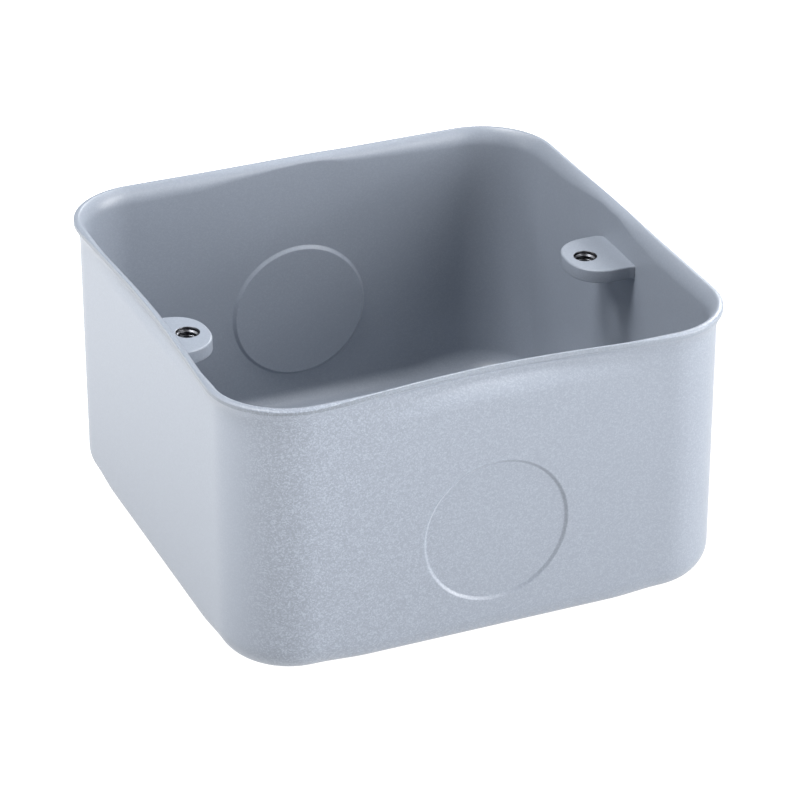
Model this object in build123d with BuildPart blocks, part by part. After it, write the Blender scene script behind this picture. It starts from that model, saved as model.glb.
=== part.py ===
from build123d import *

import os

# Single-gang metal back box, in millimetres: a drawn steel shell, two welded fixing lugs and an earth
# terminal. The origin is the middle of the base's underside, +Z runs up to the open mouth, the lugs
# stand on the walls at -X and +X, and the knock-outs are in the walls at -Y and +Y and in the base.

# Shell
wall_width = 72.4  # across the outside of two opposite walls
box_height = 41.0  # underside of the base to the top of the rim
sheet = 1.1  # steel and its paint
corner_radius = 10.3  # outside of the upright corners
base_radius = 4.3  # outside of the bend from the walls to the base
rim_step = 0.8  # how far the rim stands out from the walls
rim_step_height = 2.6  # height of the S-bend that carries the rim out
rim_lip = 0.7  # upright lip above the S-bend
rim_edge = 0.3  # chamfer for the paint-softened edges of the trimmed lip

# Knock-outs
knockout_diameter = 20.8  # for 20 mm conduit
knockout_height = 16.6  # centre of a wall knock-out above the underside
knockout_step = 0.6  # how far a disc is half-sheared inwards

# Fixing slots in the base
fixing_spacing = 44.0  # between the middles of the two slots
fixing_slot_length = 9.0
fixing_slot_width = 4.8

# Fixing lugs, which put the two accessory screws at the standard 60.3 mm centres
lug_drop = 5.5  # rim to the top of the lugs
lug_length = 8.0  # inside of the wall to the tip of the lug
lug_width = 11.2
lug_thickness = 2.2
screw_margin = 3.05  # tip of the lug to the middle of the thread
screw_diameter = 3.5  # M3.5 thread
screw_lead = 0.2  # chamfer at the mouth of the thread
lug_flare = 0.45  # spread of the weld root, on each side
lug_flare_length = 1.0  # length of that spread along the lug
lug_edge = 0.3  # chamfer for the rolled upper edge of the punched lug

# Earth terminal
terminal_x = 18.0  # place on the base
terminal_y = -18.0
terminal_length = 8.0  # along the wire hole
terminal_width = 7.0
terminal_height = 9.0
terminal_edge = 0.5  # chamfer round the top
wire_hole_diameter = 4.0
wire_hole_height = 3.2  # middle of the wire hole above the foot of the block
spigot_diameter = 4.2  # riveted foot that fills a hole in the base
spigot_clearance = 0.05  # on the radius

# Earth screw
clamp_diameter = 3.5  # M3.5 thread
clamp_clearance = 0.05  # on the radius
clamp_head_diameter = 5.8
clamp_head_height = 2.2
clamp_head_edge = 0.4  # chamfer round the head
clamp_slot_width = 0.9
clamp_slot_depth = 1.1
clamp_slot_angle = 30.0  # where the slot came to rest, in degrees from the wire hole
clamp_standoff = 1.6  # underside of the head above the block, with the screw backed off
clamp_tip_gap = 0.2  # tip of the backed-off screw above the wire hole

# Places that follow from these sizes
half_width = wall_width / 2
inner_half = half_width - sheet
middle_half = half_width - sheet / 2
rim_bend_top = box_height - rim_lip
rim_bend_bottom = rim_bend_top - rim_step_height
base_flat = wall_width - 2 * base_radius
lug_top = box_height - lug_drop
lug_tip_x = inner_half - lug_length
lug_round_x = lug_tip_x + lug_width / 2
screw_x = lug_tip_x + screw_margin
lug_flare_x = inner_half - lug_flare_length
terminal_top = sheet + terminal_height
wire_z = sheet + wire_hole_height
clamp_tip_z = wire_z + wire_hole_diameter / 2 + clamp_tip_gap
clamp_head_z = terminal_top + clamp_standoff
clamp_top_z = clamp_head_z + clamp_head_height

front_outside = Plane(origin=(0, -half_width, knockout_height), x_dir=(1, 0, 0), z_dir=(0, -1, 0))
back_outside = Plane(origin=(0, half_width, knockout_height), x_dir=(-1, 0, 0), z_dir=(0, 1, 0))
base_outside = Plane(origin=(0, 0, 0), x_dir=(1, 0, 0), z_dir=(0, 0, -1))
knockout_planes = [front_outside, back_outside, base_outside]

# Drawn shell: the wall's section carried round a rounded square, then the base, knock-outs and holes
with BuildPart() as shell:
    with BuildLine(Plane.XY) as wall_path:
        FilletPolyline(
            (half_width, -half_width),
            (half_width, half_width),
            (-half_width, half_width),
            (-half_width, -half_width),
            radius=corner_radius,
            close=True,
        )
    with BuildSketch(Plane.XZ) as wall_section:
        with BuildLine():
            base_bend = CenterArc((half_width - base_radius, base_radius), base_radius - sheet / 2, -90, 90)
            wall = Line(base_bend @ 1, (middle_half, rim_bend_bottom))
            rim_middle = (middle_half + rim_step / 2, rim_bend_bottom + rim_step_height / 2)
            rim_foot = TangentArc(wall @ 1, rim_middle, tangent=wall % 1)
            rim_head = TangentArc(rim_foot @ 1, (middle_half + rim_step, rim_bend_top), tangent=rim_foot % 1)
            Line(rim_head @ 1, (middle_half + rim_step, box_height))
        trace(line_width=sheet)
        chamfer(wall_section.vertices().group_by(Axis.Y)[-1], length=rim_edge)
    sweep(path=wall_path.wire())
    with BuildSketch(Plane.XY):
        RectangleRounded(base_flat, base_flat, corner_radius - base_radius)
    extrude(amount=sheet)

    with BuildSketch(*knockout_planes):
        Circle(knockout_diameter / 2)
    extrude(amount=-knockout_step, mode=Mode.SUBTRACT)
    with BuildSketch(*[plane.offset(-sheet) for plane in knockout_planes]):
        Circle(knockout_diameter / 2)
    extrude(amount=-knockout_step)

    with BuildSketch(Plane.XY):
        with GridLocations(fixing_spacing, 0, 2, 1):
            SlotOverall(fixing_slot_length, fixing_slot_width)
        with Locations((terminal_x, terminal_y)):
            Circle(spigot_diameter / 2)
    extrude(amount=sheet, mode=Mode.SUBTRACT)

# Fixing lugs: a punched tongue, flared where it is welded to the wall, and its mirror image
with BuildPart() as lug_right:
    with BuildSketch(Plane.XY.offset(lug_top - lug_thickness)):
        with BuildLine():
            side = Line((lug_round_x, lug_width / 2), (lug_flare_x, lug_width / 2))
            flare = TangentArc(side @ 1, (inner_half, lug_width / 2 + lug_flare), tangent=side % 1)
            Line(flare @ 1, (inner_half, 0))
            mirror(about=Plane.XZ)
            ThreePointArc((lug_round_x, lug_width / 2), (lug_tip_x, 0), (lug_round_x, -lug_width / 2))
        make_face()
    extrude(amount=lug_thickness)
    upper_edges = lug_right.faces().sort_by(Axis.Z)[-1].edges()
    chamfer(upper_edges.sort_by(Axis.X)[:-1], length=lug_edge)
    with Locations((screw_x, 0, lug_top)):
        Hole(screw_diameter / 2)
    thread_mouth = lug_right.faces().sort_by(Axis.Z)[-1].inner_wires()[0]
    chamfer(thread_mouth.edges(), length=screw_lead)

with BuildPart() as lug_left:
    mirror(lug_right.part, about=Plane.YZ)

# Earth terminal: a brass block with a cross hole for the wire and a spigot riveted through the base
with BuildPart() as earth_terminal:
    with BuildSketch(Plane.XY.offset(sheet)):
        with Locations((terminal_x, terminal_y)):
            Rectangle(terminal_length, terminal_width)
    extrude(amount=terminal_height)
    chamfer(earth_terminal.faces().sort_by(Axis.Z)[-1].edges(), length=terminal_edge)
    with BuildSketch(Plane.XY):
        with Locations((terminal_x, terminal_y)):
            Circle(spigot_diameter / 2 - spigot_clearance)
    extrude(amount=sheet)
    with BuildSketch(Plane.YZ.offset(terminal_x)):
        with Locations((terminal_y, wire_z)):
            Circle(wire_hole_diameter / 2)
    extrude(amount=terminal_length / 2, both=True, mode=Mode.SUBTRACT)
    with BuildSketch(Plane.XY.offset(wire_z)):
        with Locations((terminal_x, terminal_y)):
            Circle(clamp_diameter / 2)
    extrude(amount=terminal_top - wire_z, mode=Mode.SUBTRACT)

# Earth screw: slotted, turned from brass, backed off to leave the wire hole open
with BuildPart() as earth_screw:
    with BuildSketch(Plane.XY.offset(clamp_tip_z)):
        with Locations((terminal_x, terminal_y)):
            Circle(clamp_diameter / 2 - clamp_clearance)
    extrude(amount=clamp_head_z - clamp_tip_z)
    with BuildSketch(Plane.XY.offset(clamp_head_z)):
        with Locations((terminal_x, terminal_y)):
            Circle(clamp_head_diameter / 2)
    extrude(amount=clamp_head_height)
    chamfer(earth_screw.faces().sort_by(Axis.Z)[-1].edges(), length=clamp_head_edge)
    with BuildSketch(Plane.XY.offset(clamp_top_z)):
        with Locations((terminal_x, terminal_y)):
            Rectangle(clamp_head_diameter, clamp_slot_width, rotation=clamp_slot_angle)
    extrude(amount=-clamp_slot_depth, mode=Mode.SUBTRACT)

os.makedirs("parts", exist_ok=True)

shell.part.label = "shell"
export_step(shell.part, "parts/shell.step")

lug_left.part.label = "lug_left"
export_step(lug_left.part, "parts/lug_left.step")

lug_right.part.label = "lug_right"
export_step(lug_right.part, "parts/lug_right.step")

earth_terminal.part.label = "earth_terminal"
export_step(earth_terminal.part, "parts/earth_terminal.step")

earth_screw.part.label = "earth_screw"
export_step(earth_screw.part, "parts/earth_screw.step")
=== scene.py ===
import bmesh
import bpy
import numpy as np
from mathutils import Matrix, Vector
from mathutils.geometry import delaunay_2d_cdt


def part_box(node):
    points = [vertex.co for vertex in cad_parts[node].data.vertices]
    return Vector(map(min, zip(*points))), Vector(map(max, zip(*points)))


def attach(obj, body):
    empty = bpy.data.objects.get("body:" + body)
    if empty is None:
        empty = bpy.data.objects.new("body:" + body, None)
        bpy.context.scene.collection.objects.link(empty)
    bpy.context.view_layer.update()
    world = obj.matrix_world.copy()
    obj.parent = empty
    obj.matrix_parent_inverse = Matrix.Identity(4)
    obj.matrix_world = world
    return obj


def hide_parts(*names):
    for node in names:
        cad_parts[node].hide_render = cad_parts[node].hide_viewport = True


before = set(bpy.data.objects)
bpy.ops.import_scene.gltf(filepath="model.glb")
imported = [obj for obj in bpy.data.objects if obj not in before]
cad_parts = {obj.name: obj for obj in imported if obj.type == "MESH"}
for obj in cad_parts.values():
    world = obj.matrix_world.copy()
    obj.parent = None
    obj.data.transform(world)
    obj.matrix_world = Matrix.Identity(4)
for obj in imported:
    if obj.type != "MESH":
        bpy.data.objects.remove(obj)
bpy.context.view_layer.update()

# Drawn shell: one steel sheet pressed into a square box, with a mouth that flares out to an upright trimmed
# edge, and three discs half-sheared inwards for conduit. The stoved paint that covers it rounds every edge.
# Sizes are in millimetres, unless a comment says metres, and a place in plan is one complex number, x + iy.
MM = 0.001
shell_high = np.array(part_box("shell")[1]) / MM
rim_half, rim_top = shell_high[0], shell_high[2]
sheet = 1.1
rim_step = 0.8  # how far the rim stands out from the walls at the corners
corner_radius = 10.3
half_width = rim_half - rim_step
straight_half = half_width - corner_radius
wall_bend, corner_bend = 3.4, 4.3  # outside radius of the bend to the base: along the walls, at the corners
bend_fade = 8.0  # length over which the one becomes the other, at the ends of a wall

# The drawn rim is tall at the corners and is pulled nearly flat along the walls, which also spring in
# between the corners when the press lets go of them. Walls are named in the order of travel round the box.
# A wall's narrowing has places along it, and how far the rim has narrowed there, from 0 to 1.
rim_narrowing = {
    "front": ([-24, -14, -4, 6, 16, 24], [0.10, 0.70, 0.95, 0.95, 0.75, 0.10]),
    "right": ([-23, -12, -4, 1, 3, 5, 9, 16, 24], [0.05, 0.0, 0.40, 1.0, 0.75, 1.0, 0.75, 0.25, 0.05]),
    "back": ([-24, -9, -7, -5, -2, 3, 8, 15, 24], [0.0, 0.45, 0.55, 0.90, 1.0, 0.85, 0.55, 0.1, 0.0]),
    "left": ([-24, -19, -5, 5, 18, 24], [0.05, 0.50, 0.60, 0.60, 0.45, 0.05]),
}
soft_columns = 7  # columns of the wall's grid over which the narrowing is smoothed
rim_spring = {"front": 1.85, "right": 0.0, "back": 0.2, "left": 0.8}  # inwards, at the middle of each wall
spring_power = 1.4  # of the cosine that the spring fades by, towards the corners
lean_heights = {"front": 36.8, "right": 24.0, "back": 24.0, "left": 37.7}  # where the walls start to lean
narrow_step = 0.35  # step of the rim where it is narrowest: the wall leans to meet it
tall_rim, low_rim = 3.3, 1.1  # height of the flare, at the corners and where the rim is narrowest
trimmed_height = 0.75  # of the sheared edge, which is upright
tall_edge, low_edge = (0.75, 0.3), (0.12, 0.1)  # width and drop of its rolled-over upper corner, likewise
mouth_share = 0.8  # height of the mouth inside, as a share of the flare outside
tall_turn, low_turn = 55, 90  # degrees of an ellipse that the mouth turns through, likewise
rim_sharpness = {"front": 1.0, "right": 0.0, "back": 0.0, "left": 1.0}  # 1 where that corner was left sharp
sharp_width, sharp_drop = 0.15, 0.12  # width and drop of the corner there
sharp_fade = 10.0  # length over which it becomes rolled, at the ends of a wall
steep_power = 1.3  # power of the height by which the mouth narrows under a sharp corner

knockout_walls = (0, 2)  # front and back
knockout_radius = 10.4
outer_shear = (0.3, 0.55)  # step of a disc and width of the paint-filled shear line, outside
inner_shear = (0.42, 0.62)  # and inside the box, where the sheet is pushed out instead of cut
window_half = 11.3  # half side of the square of wall that holds a knock-out
window_middle = 16.4  # height of its middle
window_cells = 24


def ease(t):
    """Smooth step: 0 up to t = 0, 1 from t = 1, and the cubic 3t^2 - 2t^3 between."""
    t = np.clip(t, 0.0, 1.0)
    return t * t * (3.0 - 2.0 * t)


def between(start, end, share):
    """Value that lies a share of the way from the start to the end."""
    return start + (end - start) * share


def box_path(corner_cells=24, end_cells=16):
    """Plan of the box, once round, counter-clockwise from the front: a skeleton, its normals, and places.

    Along a wall the point of a square skeleton slides and its outward normal stays; at a corner the point
    stays and the normal turns by a right angle. Skeleton plus normal times a distance gives the rounded
    square at that distance. Places are distances along each wall from its middle, one row for each wall.
    """
    ends = np.linspace(straight_half, window_half, end_cells + 1)
    middle = np.linspace(-window_half, window_half, window_cells + 1)
    along = np.concatenate([-ends[:-1], middle, ends[::-1][1:]])
    turn = np.linspace(0.0, np.pi / 2, corner_cells + 1)[1:-1]
    skeleton = np.concatenate([along - 1j * straight_half, np.full(turn.size, straight_half * (1 - 1j))])
    normal = np.concatenate([np.full(along.size, -1j), -1j * np.exp(1j * turn)])
    place = np.concatenate([along, np.full(turn.size, straight_half)])
    quarters = 1j ** np.arange(4)[:, None]
    return (quarters * skeleton).ravel(), (quarters * normal).ravel(), np.tile(place, (4, 1))


skeleton, normal, place = box_path()
columns = skeleton.size
wall_columns = columns // 4
first_window_column = int(np.flatnonzero(np.isclose(place[0], -window_half))[0])
to_corner = straight_half - np.abs(place)


def round_box(by_wall, share):
    """Values at every column: each wall's own value times a share, which varies along the walls."""
    return (np.array(list(by_wall.values()))[:, None] * share).ravel()


narrowing = np.stack([np.interp(place[k], *rim_narrowing[wall]) for k, wall in enumerate(rim_narrowing)])
narrowing[:, np.isclose(place[0], straight_half)] = 0.0
softening = np.hanning(soft_columns) / np.hanning(soft_columns).sum()
narrowing = np.convolve(np.pad(narrowing.ravel(), soft_columns // 2, "wrap"), softening, "valid")
spring_fade = np.clip(np.cos(np.pi * place / (2 * straight_half)), 0.0, 1.0) ** spring_power
spring = round_box(rim_spring, spring_fade)
lean_start = round_box(lean_heights, np.ones_like(place))
sharpness = round_box(rim_sharpness, ease(to_corner / sharp_fade))
bend_radius = between(wall_bend, corner_bend, ease(1 - to_corner / bend_fade).ravel())


def wall_section(
    bend_cells=14,
    below_cells=2,
    upper_cells=10,
    flare_cells=12,
    edge_cells=3,
    corner_cells=5,
    mouth_cells=20,
):
    """Section of the sheet at every column: distances out from the wall's outer face, and heights.

    The outer face runs from the base round a quarter circle, up the wall, which leans to meet the rim, out
    under the flare by a parabola, and up the trimmed edge, whose upper corner is a quarter ellipse. From
    there the mouth narrows to the inside of the wall, a sheet further in: by part of an ellipse where the
    corner is rolled, and by a power of the height where it is sharp. Rows run from the outside of the base,
    up, over the edge and down to the inside of the base. The first row of the knock-outs' windows and the
    rows of the trimmed edge are given as well.
    """
    step = between(rim_step, narrow_step, narrowing)
    edge_width, edge_drop = (between(tall, low, narrowing) for tall, low in zip(tall_edge, low_edge))
    edge_width = between(edge_width, sharp_width, sharpness)
    edge_drop = between(edge_drop, sharp_drop, sharpness)
    foot = rim_top - tall_rim - (low_rim - tall_rim) * narrowing
    edge = rim_top - trimmed_height
    window_bottom, window_top = window_middle - window_half, window_middle + window_half

    def rows_between(low, high, cells):
        """Heights of rows from low to high at every column, evenly spaced, without the first."""
        share = np.linspace(0.0, 1.0, cells + 1)[1:, None]
        return np.broadcast_to(between(low, high, share), (cells, columns))

    def lean(up):
        """How far the wall leans out at a height, to meet the rim where it has sprung in or narrowed."""
        return (rim_step - spring - step) * ease((up - lean_start) / (foot - lean_start))

    wall = np.concatenate([
        bend_radius[None],
        rows_between(bend_radius, window_bottom, below_cells),
        rows_between(window_bottom, window_top, window_cells),
        rows_between(window_top, foot, upper_cells),
    ])
    under = rows_between(foot, edge, flare_cells)
    under_out = lean(under) + step * ((under - foot) / (edge - foot)) ** 2
    trimmed = rows_between(edge, rim_top - edge_drop, edge_cells)
    trimmed_out = lean(trimmed) + step
    turn = np.linspace(0.0, np.pi / 2, corner_cells + 1)[1:, None]
    corner = rim_top - edge_drop * (1 - np.sin(turn))
    corner_out = trimmed_out[-1] - edge_width * (1 - np.cos(turn))

    whole_turn = np.radians(tall_turn + (low_turn - tall_turn) * narrowing * (1 - sharpness))
    turn = np.linspace(1.0, 0.0, mouth_cells + 1)[1:, None] * whole_turn
    height_share = np.sin(turn) / np.sin(whole_turn)
    mouth_height = mouth_share * (rim_top - foot)
    mouth = rim_top - mouth_height * (1 - height_share)
    mouth_reach = sheet + step - edge_width
    rolled_share = (1 - np.cos(turn)) / (1 - np.cos(whole_turn))
    steep_share = height_share**steep_power
    mouth_out = lean(foot) - sheet + mouth_reach * between(rolled_share, steep_share, sharpness)

    arc = np.exp(1j * np.linspace(-np.pi / 2, 0.0, bend_cells + 1)[:-1, None])
    outer_bend = bend_radius * arc
    inner_bend = ((bend_radius - sheet) * arc)[::-1]
    out = [outer_bend.real - bend_radius, lean(wall), under_out, trimmed_out, corner_out, mouth_out]
    out += [lean(wall)[-2::-1] - sheet, inner_bend.real - bend_radius]
    up = [outer_bend.imag + bend_radius, wall, under, trimmed, corner, mouth]
    up += [wall[-2::-1], inner_bend.imag + bend_radius]
    first_edge_row = bend_cells + wall.shape[0] + flare_cells - 1
    edge_rows = slice(first_edge_row, first_edge_row + edge_cells)
    return np.concatenate(out), np.concatenate(up), bend_cells + below_cells, edge_rows


section_out, section_up, first_window_row, edge_rows = wall_section()
rows = section_out.shape[0]


def points_at(plan, height):
    """Puts plan places (complex) and heights together as an array of points."""
    plan, height = np.broadcast_arrays(plan, height)
    return np.stack([plan.real, plan.imag, height], axis=-1)


def grid_faces(shape, keep=None):
    """Quads of a grid of points whose last column joins the first: all of them, or those to keep."""
    index = np.arange(shape[0] * shape[1]).reshape(shape)
    across = np.roll(index, -1, axis=1)
    quads = np.stack([index[:-1], across[:-1], across[1:], index[1:]], axis=-1)
    return quads.reshape(-1, 4) if keep is None else quads[keep]


walls = points_at(skeleton + (corner_radius + section_out) * normal, section_up)

# Squares of wall that hold the knock-outs are left out of this grid, on the outer and the inner face, and
# the trimmed edge is a patch of its own, for its darker paint, which is painted shade. A patch is points,
# faces and a material slot.
full_paint_slot, shaded_edge_slot = 0, 1
kept = np.ones((rows - 1, columns), bool)
window_rows = slice(first_window_row, first_window_row + window_cells)
inner_window_rows = slice(rows - 1 - window_rows.stop, rows - 1 - window_rows.start)
for wall in knockout_walls:
    first = wall * wall_columns + first_window_column
    kept[window_rows, first : first + window_cells] = False
    kept[inner_window_rows, first : first + window_cells] = False
on_edge = np.zeros_like(kept)
on_edge[edge_rows] = True
patches = [(walls, grid_faces((rows, columns), kept & ~on_edge), full_paint_slot)]
patches.append((walls, grid_faces((rows, columns), on_edge), shaded_edge_slot))


def shear_step(radius, step, slope):
    """Depth of a half-sheared disc at a radius: full inside the shear line, easing to nothing across it."""
    return step * (1.0 - ease((radius - knockout_radius) / slope + 0.5))


def disc_rings(rim, flat_cells=6, line_cells=18, outer_cells=3, line_margin=0.62):
    """Rings of points from a disc's middle to its rim: (complex places, radii).

    Rings are close together across the shear line, as far as the margin times its width on both sides, and
    then blend from that circle to the rim's own outline, along rays from the middle.
    """
    line = knockout_radius + outer_shear[1] * np.linspace(-line_margin, line_margin, line_cells + 1)
    flat = np.linspace(0.0, line[0], flat_cells + 1)[:-1]
    radius = np.concatenate([flat, line])[:, None]
    ray = rim / np.abs(rim)
    blend = np.linspace(0.0, 1.0, outer_cells + 1)[1:, None]
    rings = np.concatenate([radius * ray, between(line[-1] * ray, rim, blend)])
    return rings, np.abs(rings)


def square_rim():
    """The window's own edge, as places from its middle, once round, at the wall grid's own points."""
    side = np.linspace(-window_half, window_half, window_cells + 1)[:-1]
    return ((side - 1j * window_half) * 1j ** np.arange(4)[:, None]).ravel()


def wall_at(wall, along, height, face_rows):
    """Points of a wall's own face, with its lean, by bilinear interpolation in the wall's grid."""
    first = wall * wall_columns + first_window_column
    block = walls[face_rows.start : face_rows.stop + 1, first : first + window_cells + 1]
    if block[0, 0, 2] > block[-1, 0, 2]:
        block = block[::-1]
    cell = 2 * window_half / window_cells
    just_inside = window_cells - 1e-9
    x = np.clip((along + window_half) / cell, 0, just_inside)
    y = np.clip((height + window_half) / cell, 0, just_inside)
    i, j = x.astype(int), y.astype(int)
    fx, fy = (x - i)[..., None], (y - j)[..., None]
    low = block[j, i] * (1 - fx) + block[j, i + 1] * fx
    high = block[j + 1, i] * (1 - fx) + block[j + 1, i + 1] * fx
    return low * (1 - fy) + high * fy


rings, radius = disc_rings(square_rim())
for wall in knockout_walls:
    inward = 1j ** (wall + 1)  # +Y from the front wall, and a quarter turn on from each next wall
    inward = np.array([inward.real, inward.imag, 0.0])
    for face_rows, shear in ((window_rows, outer_shear), (inner_window_rows, inner_shear)):
        pushed = shear_step(radius, *shear)[..., None] * inward
        face = wall_at(wall, rings.real, rings.imag, face_rows) + pushed
        patches.append((face, grid_faces(rings.shape), full_paint_slot))

# The flat base of the same sheet: its outline is the wall grid's own first and last rows. It has a
# half-sheared knock-out, two punched fixing slots and a punched hole that the earth terminal is riveted in.
fixing_spacing = 44.0
fixing_slot_length = 9.0
fixing_slot_width = 4.8
terminal_low, terminal_high = (np.array(corner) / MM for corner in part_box("earth_terminal"))
terminal_middle = complex(*(terminal_low + terminal_high)[:2] / 2)
rivet_hole = 4.2
punched_round = 0.25  # paint-rounded edge of a punched hole
disc_margin = 1.2  # width of the ring round the knock-out that belongs to its patch
disc_cells = 96


def punched_hole(middle, length, width, cells=64, round_cells=5):
    """Wall of a punched hole: a quarter round, a straight and a quarter round, carried round a slot.

    The slot is a skeleton of one line and a normal that turns once round, as the box's own plan is.
    """
    ray = np.exp(1j * np.linspace(0.0, 2 * np.pi, cells, endpoint=False))
    spine = middle + (length - width) / 2 * np.sign(np.round(ray.real, 6))
    arc = np.linspace(0.0, np.pi / 2, round_cells + 1)
    out = punched_round * (1 - np.sin(arc))
    up = punched_round * (1 - np.cos(arc))
    out = np.concatenate([out, out[::-1]])[:, None]
    up = np.concatenate([up, sheet - up[::-1]])[:, None]
    return points_at(spine + (width / 2 + out) * ray, up)


holes = [punched_hole(side * fixing_spacing / 2, fixing_slot_length, fixing_slot_width) for side in (-1, 1)]
holes.append(punched_hole(terminal_middle, rivet_hole, rivet_hole))
patches += [(hole, grid_faces(hole.shape[:2]), full_paint_slot) for hole in holes]
round_rim = (knockout_radius + disc_margin) * np.exp(2j * np.pi * np.arange(disc_cells) / disc_cells)
rings, radius = disc_rings(round_rim)
for level, shear in ((0.0, outer_shear), (sheet, inner_shear)):
    disc = points_at(rings, level + shear_step(radius, *shear))
    patches.append((disc, grid_faces(rings.shape), full_paint_slot))


def base_plate(outline, openings, level):
    """Flat plate inside an outline and outside its openings, as Delaunay triangles of their points."""
    loops = [outline] + openings
    starts = np.cumsum([0] + [loop.size for loop in loops])
    spots = [Vector((p.real, p.imag)) for p in np.concatenate(loops)]
    loops_of = [list(range(a, b)) for a, b in zip(starts[:-1], starts[1:])]
    inside_without_holes, same_spot = 2, 1e-6
    found, _, triangles, *_ = delaunay_2d_cdt(spots, [], loops_of, inside_without_holes, same_spot)
    flat = np.array(found)
    return points_at(flat[:, 0] + 1j * flat[:, 1], level), np.array(triangles)


for row, level in ((0, 0.0), (-1, sheet)):
    outline = walls[row, :, 0] + 1j * walls[row, :, 1]
    openings = [hole[row, :, 0] + 1j * hole[row, :, 1] for hole in holes] + [round_rim]
    patches.append((*base_plate(outline, openings, level), full_paint_slot))


def join_patches(name, patches, merge_distance=0.002, sharp_angle=50):
    """One mesh object from patches: points that they share are merged, and their faces are turned outwards.

    Edges that turn by more than the sharp angle, in degrees, are shaded sharp.
    """
    mesh = bpy.data.meshes.new(name)
    builder = bmesh.new()
    for points, faces, slot in patches:
        part = bpy.data.meshes.new("part")
        part.from_pydata(points.reshape(-1, 3) * MM, [], faces.tolist())
        part.polygons.foreach_set("material_index", np.full(len(faces), slot, np.int32))
        builder.from_mesh(part)
        bpy.data.meshes.remove(part)
    bmesh.ops.remove_doubles(builder, verts=builder.verts, dist=merge_distance * MM)
    bmesh.ops.delete(builder, geom=[v for v in builder.verts if not v.link_faces], context="VERTS")
    bmesh.ops.recalc_face_normals(builder, faces=builder.faces)
    builder.to_mesh(mesh)
    builder.free()
    mesh.shade_smooth()
    mesh.set_sharp_from_angle(angle=np.radians(sharp_angle))
    piece = bpy.data.objects.new(name, mesh)
    bpy.context.scene.collection.objects.link(piece)
    return piece


shell = join_patches("painted_shell", patches)

# The shell's paint: silver-grey stoved enamel with metal flake, satin, sprayed over drawn steel. It gives
# soft broad highlights and a bluish grey. Its flakes lie at slightly different tilts. Their colours are a
# little
# brighter or darker at random: a fine grain everywhere, and on the front wall, towards the left, coarse
# specks that are painted glints of the flakes in the lamps.
paint_colour = "#858C97"
paint_roughness = 0.4
flake_size = 0.17  # real flakes are too fine to show, so they are drawn in clusters of this size
flake_tilt = 0.03  # how far the flakes' normals stray, as a share of a unit normal
fine_grain, painted_glint_grain = 0.08, 0.41  # how far the flakes' shades stray: everywhere, and with painted glints on the front
coarse_depth = 6.0  # distance behind the front wall's face over which the painted glints fade to the fine grain
coarse_right, coarse_gain = 0.25, 0.95  # share of the painted glints at the right, and their gain to the left
coarse_power = 3.0  # power of the way across by which it gains

# The trimmed edge is drawn in a darker paint, most of all to the left: painted shade on the rim's lip.
edge_shade_colour = "#818892"
edge_shade_left_share = 0.8  # how dark it is at the left
edge_shade_from, edge_shade_to = -24.0, -6.0  # places across the box between which the painted shade fades


def linear(colour):
    """Linear RGBA of an sRGB hex colour, by the sRGB transfer curve."""
    srgb = np.array([int(colour[i : i + 2], 16) for i in (1, 3, 5)]) / 255
    rgb = np.where(srgb <= 0.04045, srgb / 12.92, ((srgb + 0.055) / 1.055) ** 2.4)
    return (*rgb.tolist(), 1.0)


def add_node(tree, kind, settings=None, inputs=None):
    """Adds one node, sets its properties, and links each input that is a socket or sets it to its value."""
    node = tree.nodes.new(kind)
    for name, value in (settings or {}).items():
        setattr(node, name, value)
    for name, value in (inputs or {}).items():
        if isinstance(value, bpy.types.NodeSocket):
            tree.links.new(value, node.inputs[name])
        else:
            node.inputs[name].default_value = value
    return node


def new_material(name):
    """An empty node material: (material, its tree, its Principled shader)."""
    material = bpy.data.materials.new(name)
    material.use_nodes = True
    tree = material.node_tree
    return material, tree, tree.nodes["Principled BSDF"]


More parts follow.
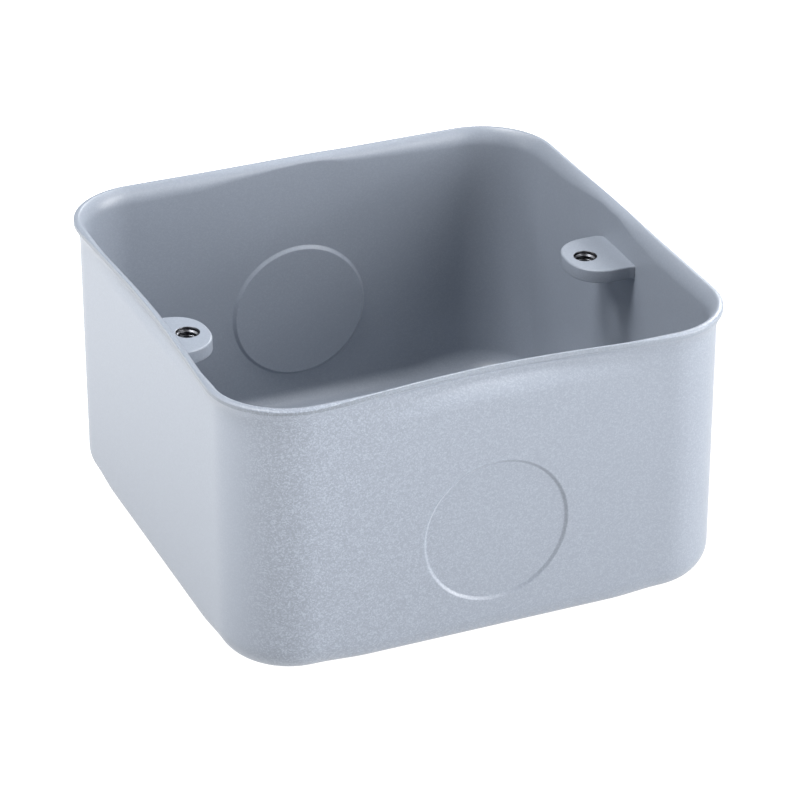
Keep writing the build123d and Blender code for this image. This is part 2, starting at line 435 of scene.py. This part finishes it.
def stoved_enamel(name, colour, left_share=1.0):
    """The paint as a material. Towards the left it may be darkened by painted shade: there its shade falls to
    the left share.

    Each flake is a Voronoi cell with a chance of its own, from 0 to 1. Its shade is 1 plus the grain times
    a glint, which is its chance squared less the mean of such squares, so that few flakes are bright and
    many a little dark. Where the grain is coarse, on the front, these are painted glints. Its normal is the
    surface's own, plus the tilt times three chances less their mean.
    """
    enamel, tree, shader = new_material(name)
    coordinates = add_node(tree, "ShaderNodeTexCoord")
    flakes = add_node(
        tree,
        "ShaderNodeTexVoronoi",
        {"voronoi_dimensions": "3D", "feature": "F1"},
        {"Vector": coordinates.outputs["Object"], "Scale": 1 / (flake_size * MM)},
    )
    place_axes = add_node(tree, "ShaderNodeSeparateXYZ", inputs={"Vector": coordinates.outputs["Object"]})
    # Painted glints: the flakes' specks grow coarse on the front wall, and more so towards the left
    painted_glints_on_front = add_node(
        tree,
        "ShaderNodeMapRange",
        {"interpolation_type": "SMOOTHSTEP"},
        {
            "Value": place_axes.outputs["Y"],
            "From Min": -(half_width - coarse_depth) * MM,
            "From Max": -half_width * MM,
            "To Min": 0.0,
            "To Max": painted_glint_grain - fine_grain,
        },
    )
    across = add_node(
        tree,
        "ShaderNodeMapRange",
        inputs={
            "Value": place_axes.outputs["X"],
            "From Min": half_width * MM,
            "From Max": -half_width * MM,
            "To Min": 0.0,
            "To Max": 1.0,
        },
    )
    to_left = add_node(
        tree,
        "ShaderNodeMath",
        {"operation": "POWER"},
        {0: across.outputs["Result"], 1: coarse_power},
    )
    painted_glint_share = add_node(
        tree,
        "ShaderNodeMath",
        {"operation": "MULTIPLY_ADD"},
        {0: to_left.outputs["Value"], 1: coarse_gain, 2: coarse_right},
    )
    grain = add_node(
        tree,
        "ShaderNodeMath",
        {"operation": "MULTIPLY_ADD"},
        {0: painted_glints_on_front.outputs["Result"], 1: painted_glint_share.outputs["Value"], 2: fine_grain},
    )
    chance = add_node(tree, "ShaderNodeSeparateColor", inputs={"Color": flakes.outputs["Color"]})
    mean_chance, mean_square = 1 / 2, 1 / 3
    glint = add_node(
        tree,
        "ShaderNodeMath",
        {"operation": "MULTIPLY_ADD"},
        {0: chance.outputs["Red"], 1: chance.outputs["Red"], 2: -mean_square},
    )
    shade = add_node(
        tree,
        "ShaderNodeMath",
        {"operation": "MULTIPLY_ADD"},
        {0: glint.outputs["Value"], 1: grain.outputs["Value"], 2: 1.0},
    )
    # Painted shade: the paint darkens towards the left, down to the left share
    if left_share < 1:
        edge_shading = add_node(
            tree,
            "ShaderNodeMapRange",
            {"interpolation_type": "SMOOTHSTEP"},
            {
                "Value": place_axes.outputs["X"],
                "From Min": edge_shade_from * MM,
                "From Max": edge_shade_to * MM,
                "To Min": left_share,
                "To Max": 1.0,
            },
        )
        shade = add_node(
            tree,
            "ShaderNodeMath",
            {"operation": "MULTIPLY"},
            {0: shade.outputs["Value"], 1: edge_shading.outputs["Result"]},
        )
    flake_colour = add_node(
        tree,
        "ShaderNodeVectorMath",
        {"operation": "SCALE"},
        {0: linear(colour)[:3], "Scale": shade.outputs["Value"]},
    )
    stray = add_node(
        tree,
        "ShaderNodeVectorMath",
        {"operation": "SUBTRACT"},
        {0: flakes.outputs["Color"], 1: (mean_chance,) * 3},
    )
    surface = add_node(tree, "ShaderNodeNewGeometry")
    tilted = add_node(
        tree,
        "ShaderNodeVectorMath",
        {"operation": "MULTIPLY_ADD"},
        {0: stray.outputs["Vector"], 1: (flake_tilt,) * 3, 2: surface.outputs["Normal"]},
    )
    flake_normal = add_node(
        tree,
        "ShaderNodeVectorMath",
        {"operation": "NORMALIZE"},
        {0: tilted.outputs["Vector"]},
    )
    tree.links.new(flake_colour.outputs["Vector"], shader.inputs["Base Color"])
    tree.links.new(flake_normal.outputs["Vector"], shader.inputs["Normal"])
    shader.inputs["Roughness"].default_value = paint_roughness
    return enamel


paint = stoved_enamel("silver_grey_stoved_enamel", paint_colour)
# Paint of the trimmed edge, darkened by painted shade, most of all to the left
shaded_edge_paint = stoved_enamel("enamel_with_painted_edge_shade", edge_shade_colour, edge_shade_left_share)
shell.data.materials.append(paint)
shell.data.materials.append(shaded_edge_paint)
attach(shell, "root")
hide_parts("shell")

# Fixing lugs: punched steel tongues with a full-round end, welded to the insides of two walls and painted
# with the shell. Each is tapped for the accessory's screw, with a thread cut through the paint to bare steel.
lug_low, lug_high = (np.array(corner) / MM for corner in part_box("lug_right"))
lug_drop = 0.2  # of the painted tops, below the solids' own
lug_top, lug_bottom = lug_high[2] - lug_drop, lug_low[2]
lug_tip, lug_seat = lug_low[0], lug_high[0]
lug_width = 11.2
nose_power = 2.35  # superellipse power of the nose: a little fuller than a half round
lug_flare, lug_flare_length = 0.2, 1.0  # spread of the weld root on the near side, and its length
root_round = 1.5  # rounding of the other root corner
weld_depth = 0.6  # how far the weld bites into the wall
lug_upper_round = 0.25
lug_lower_round = 0.2
screw_inset = 3.05  # from the tip to the screw's axis
thread_radius = 1.65  # paint builds up a little in the mouth of the M3.5 thread
thread_depth = 0.3
thread_pitch = 0.6
thread_lead = 0.05  # how far the bore widens at its mouths
thread_flat = 0.25  # how much of a ridge's sloping side is cut off at its crest, and at its root
lug_paint_slot, bare_steel_slot = 0, 1


def lug_outline(side, corner_cells=8, edge_cells=8, nose_cells=47, root_cells=24):
    """Outline of a tongue in plan, once round, with side -1 or 1 for the left or the right wall.

    It has a root corner rounded by the punch, a straight side, a full nose (half a superellipse), a side
    that the weld flares by a parabola, and a root line inside the wall.
    """
    half = lug_width / 2
    nose_middle = lug_tip + half
    root = lug_seat + weld_depth
    corner = np.exp(1j * np.linspace(0.0, np.pi / 2, corner_cells + 1))
    rounded = complex(root, half) - root_round * (1 + 1j - corner)
    straight = np.linspace(rounded[-1].real, nose_middle, edge_cells + 1)[1:-1] + 1j * half
    ray = np.exp(1j * np.linspace(np.pi / 2, 3 * np.pi / 2, nose_cells + 1))
    reach = (np.abs(ray.real) ** nose_power + np.abs(ray.imag) ** nose_power) ** (-1 / nose_power)
    nose = nose_middle + half * reach * ray
    along = np.linspace(nose_middle, root, 2 * edge_cells)[1:]
    flare = lug_flare * np.clip((along - lug_seat) / lug_flare_length + 1, 0.0, 1.0) ** 2
    flared = along - 1j * (half + flare)
    line = root + 1j * np.linspace(flared[-1].imag, rounded[0].imag, root_cells + 1)[1:-1]
    outline = np.concatenate([rounded, straight, nose, flared, line])
    return side * outline.real + 1j * outline.imag


def lug_patches(side, round_cells=6, bore_cells=72, face_shares=(0.0, 0.03, 0.3, 0.65, 0.97, 1.0)):
    """Patches of one lug, all with the outline's own number of points round.

    The outline is drawn in along its mitred normals to round its upper and lower edges. Flat rings run from
    the thread's two mouths to those edges, at shares of the way. The bore's radius shrinks by a ridge once a
    pitch, at a height that climbs with the turn round the axis: a triangle, cut flat at its crest and root.
    """
    outline = lug_outline(side)
    edge = np.roll(outline, -1) - outline
    after = -1j * side * edge / np.abs(edge)
    before = np.roll(after, 1)
    outward = (before + after) / (1 + (before * after.conj()).real)
    arc = np.linspace(0.0, np.pi / 2, round_cells + 1)
    upper_inset, lower_inset = lug_upper_round * (1 - np.sin(arc)), lug_lower_round * (1 - np.cos(arc))
    upper_height = lug_top - lug_upper_round * (1 - np.cos(arc))
    lower_height = lug_bottom + lug_lower_round * (1 - np.sin(arc))
    inset = np.concatenate([upper_inset, lower_inset])[:, None]
    sides = points_at(outline - inset * outward, np.concatenate([upper_height, lower_height])[:, None])

    axis = side * (lug_tip + screw_inset)
    ray = (outline - axis) / np.abs(outline - axis)
    mouth = axis + (thread_radius + thread_lead) * ray
    share = np.array(face_shares)[:, None]
    upper_face = points_at(between(mouth, outline - inset[0] * outward, share), lug_top)
    lower_face = points_at(between(mouth, outline - inset[-1] * outward, share), lug_bottom)

    level = between(lug_top, lug_bottom, np.linspace(0.0, 1.0, bore_cells + 1)[:, None])
    near_mouth = np.minimum(lug_top - level, level - lug_bottom)
    flare = thread_lead * np.clip(1 - near_mouth / thread_lead, 0.0, 1.0)
    turn = np.angle(ray) / (2 * np.pi)
    triangle = 1 - np.abs(2 * ((level / thread_pitch - turn) % 1.0) - 1)
    ridge = np.clip((1 + 2 * thread_flat) * triangle - thread_flat, 0.0, 1.0)
    bore_radius = thread_radius + flare - thread_depth * ridge * ease(near_mouth / thread_pitch)
    bore = points_at(axis + bore_radius * ray, level)
    painted = (sides, upper_face, lower_face)
    patches = [(patch, grid_faces(patch.shape[:2]), lug_paint_slot) for patch in painted]
    return patches + [(bore, grid_faces(bore.shape[:2]), bare_steel_slot)]


# Bare tapped steel: bright where the tap has cut it, with a slightly rough sheen along the thread
cut_steel_colour = "#55565A"
cut_steel_roughness = 0.35
cut_steel, tree, shader = new_material("cut_steel")
shader.inputs["Base Color"].default_value = linear(cut_steel_colour)
shader.inputs["Metallic"].default_value = 1.0
shader.inputs["Roughness"].default_value = cut_steel_roughness

for name, side in (("lug_left", -1), ("lug_right", 1)):
    lug = join_patches("painted_" + name, lug_patches(side))
    lug.data.materials.append(paint)
    lug.data.materials.append(cut_steel)
    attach(lug, "root")
    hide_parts(name)

# Earth terminal and its screw: a block sawn from extruded brass bar and riveted to the base, and a turned
# brass screw. Both are the CAD solids themselves, in a better brass: pale yellow, with fine tool marks along
# X that make its highlights streaky.
brass_colour = "#CFAF72"
mark_length, mark_width = 3.0, 0.12
smooth_mark, rough_mark = 0.24, 0.44  # roughness
noise_low, noise_high = 0.3, 0.7  # the noise's usual range
brass, tree, shader = new_material("machined_brass")
coordinates = add_node(tree, "ShaderNodeTexCoord")
mark_scale = (1 / (mark_length * MM), 1 / (mark_width * MM), 1 / (mark_width * MM))
stretched = add_node(
    tree,
    "ShaderNodeVectorMath",
    {"operation": "MULTIPLY"},
    {0: coordinates.outputs["Object"], 1: mark_scale},
)
marks = add_node(tree, "ShaderNodeTexNoise", inputs={"Vector": stretched.outputs["Vector"], "Scale": 1.0})
sheen = add_node(
    tree,
    "ShaderNodeMapRange",
    inputs={
        "Value": marks.outputs[0],
        "From Min": noise_low,
        "From Max": noise_high,
        "To Min": smooth_mark,
        "To Max": rough_mark,
    },
)
tree.links.new(sheen.outputs["Result"], shader.inputs["Roughness"])
shader.inputs["Base Color"].default_value = linear(brass_colour)
shader.inputs["Metallic"].default_value = 1.0
for piece in ("earth_terminal", "earth_screw"):
    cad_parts[piece].data.materials.clear()
    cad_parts[piece].data.materials.append(brass)

# Camera: a long lens about half a metre from the box, as in the photograph. It looks down on the front wall
# from a little to its left. Its place and direction were fitted to the outline, the rim and the lug holes.
camera_place = (-175.682, -412.702, 259.320)
camera_azimuth, camera_elevation = -23.2269, 28.2424


def direction(azimuth, elevation):
    """Unit vector from the box, by degrees: azimuth runs from the front wall round to the right."""
    turn, rise = np.radians(azimuth), np.radians(elevation)
    return Vector((np.sin(turn) * np.cos(rise), -np.cos(turn) * np.cos(rise), np.sin(rise)))


lens = bpy.data.cameras.new("camera")
lens.lens = 161.567
lens.sensor_width = 36.0
lens.clip_start = 0.01
lens.clip_end = 20.0
camera = bpy.data.objects.new("camera", lens)
camera.location = Vector(camera_place) * MM
camera.rotation_mode = "QUATERNION"
camera.rotation_quaternion = (-direction(camera_azimuth, camera_elevation)).to_track_quat("-Z", "Y")
bpy.context.scene.collection.objects.link(camera)
bpy.context.scene.camera = camera
bpy.context.scene.view_settings.view_transform = "Standard"

# Floor: a light table of white acrylic that the box stands on, lit from below, in metres. It is dimmer in
# the box's own shade, to its right and front, so that the lower edges aren't lost in its glow.
acrylic_colour = "#3F3F3F"  # dark by itself, because its white is the light from below
acrylic_roughness = 0.6
glow_colour = "#FFFFFF"
near_glow, far_glow = 1.03, 1.94
shade_middle = (0.05, -0.03, 0.0)
shade_near, shade_far = 0.06, 0.17
reach = 3.0
floor_corners = [(-reach, -reach, 0), (reach, -reach, 0), (reach, reach, 0), (-reach, reach, 0)]
floor_mesh = bpy.data.meshes.new("floor")
floor_mesh.from_pydata(floor_corners, [], [(0, 1, 2, 3)])
floor = bpy.data.objects.new("floor", floor_mesh)
bpy.context.scene.collection.objects.link(floor)
white, tree, shader = new_material("white_acrylic")
shader.inputs["Base Color"].default_value = linear(acrylic_colour)
shader.inputs["Roughness"].default_value = acrylic_roughness
shader.inputs["Emission Color"].default_value = linear(glow_colour)
coordinates = add_node(tree, "ShaderNodeTexCoord")
from_shade = add_node(
    tree,
    "ShaderNodeVectorMath",
    {"operation": "DISTANCE"},
    {0: coordinates.outputs["Object"], 1: shade_middle},
)
glow = add_node(
    tree,
    "ShaderNodeMapRange",
    {"interpolation_type": "SMOOTHSTEP"},
    {
        "Value": from_shade.outputs["Value"],
        "From Min": shade_near,
        "From Max": shade_far,
        "To Min": near_glow,
        "To Max": far_glow,
    },
)
tree.links.new(glow.outputs["Result"], shader.inputs["Emission Strength"])
floor.data.materials.append(white)

# Light: softboxes round the box, as a product studio has them, and no light from the room. The strong ones
# stand high on the left, low on the right and behind on the right, and the others fill. Sizes are in metres.
softbox_side, softbox_distance = 0.4, 1.2
aim = Vector((0, 0, 0.02))
world = bpy.data.worlds.new("studio")
world.use_nodes = True
world.node_tree.nodes["Background"].inputs["Strength"].default_value = 0.0
bpy.context.scene.world = world


def softbox(name, azimuth, elevation, watts):
    """A square area light at the softboxes' distance in a direction from the box, turned to face it."""
    light = bpy.data.lights.new(name, "AREA")
    light.shape = "SQUARE"
    light.size = softbox_side
    light.energy = watts
    lamp = bpy.data.objects.new(name, light)
    lamp.location = softbox_distance * direction(azimuth, elevation)
    lamp.rotation_mode = "QUATERNION"
    lamp.rotation_quaternion = (aim - lamp.location).to_track_quat("-Z", "Y")
    bpy.context.scene.collection.objects.link(lamp)


softbox("left_key", -90, 70, 14.4)
softbox("left_back", -130, 50, 3.7)
softbox("left_high", -90, 45, 2.4)
softbox("left_low", -100, 10, 2.1)
softbox("front_left", -30, 10, 1.8)
softbox("front_fill", 20, 28, 2.4)
softbox("front_right", 40, 28, 3.2)
softbox("right_key", 45, 20, 4.3)
softbox("right_low", 60, 10, 9.7)
softbox("right_top", 75, 54, 4.7)
softbox("back_right", 130, 33, 8.5)
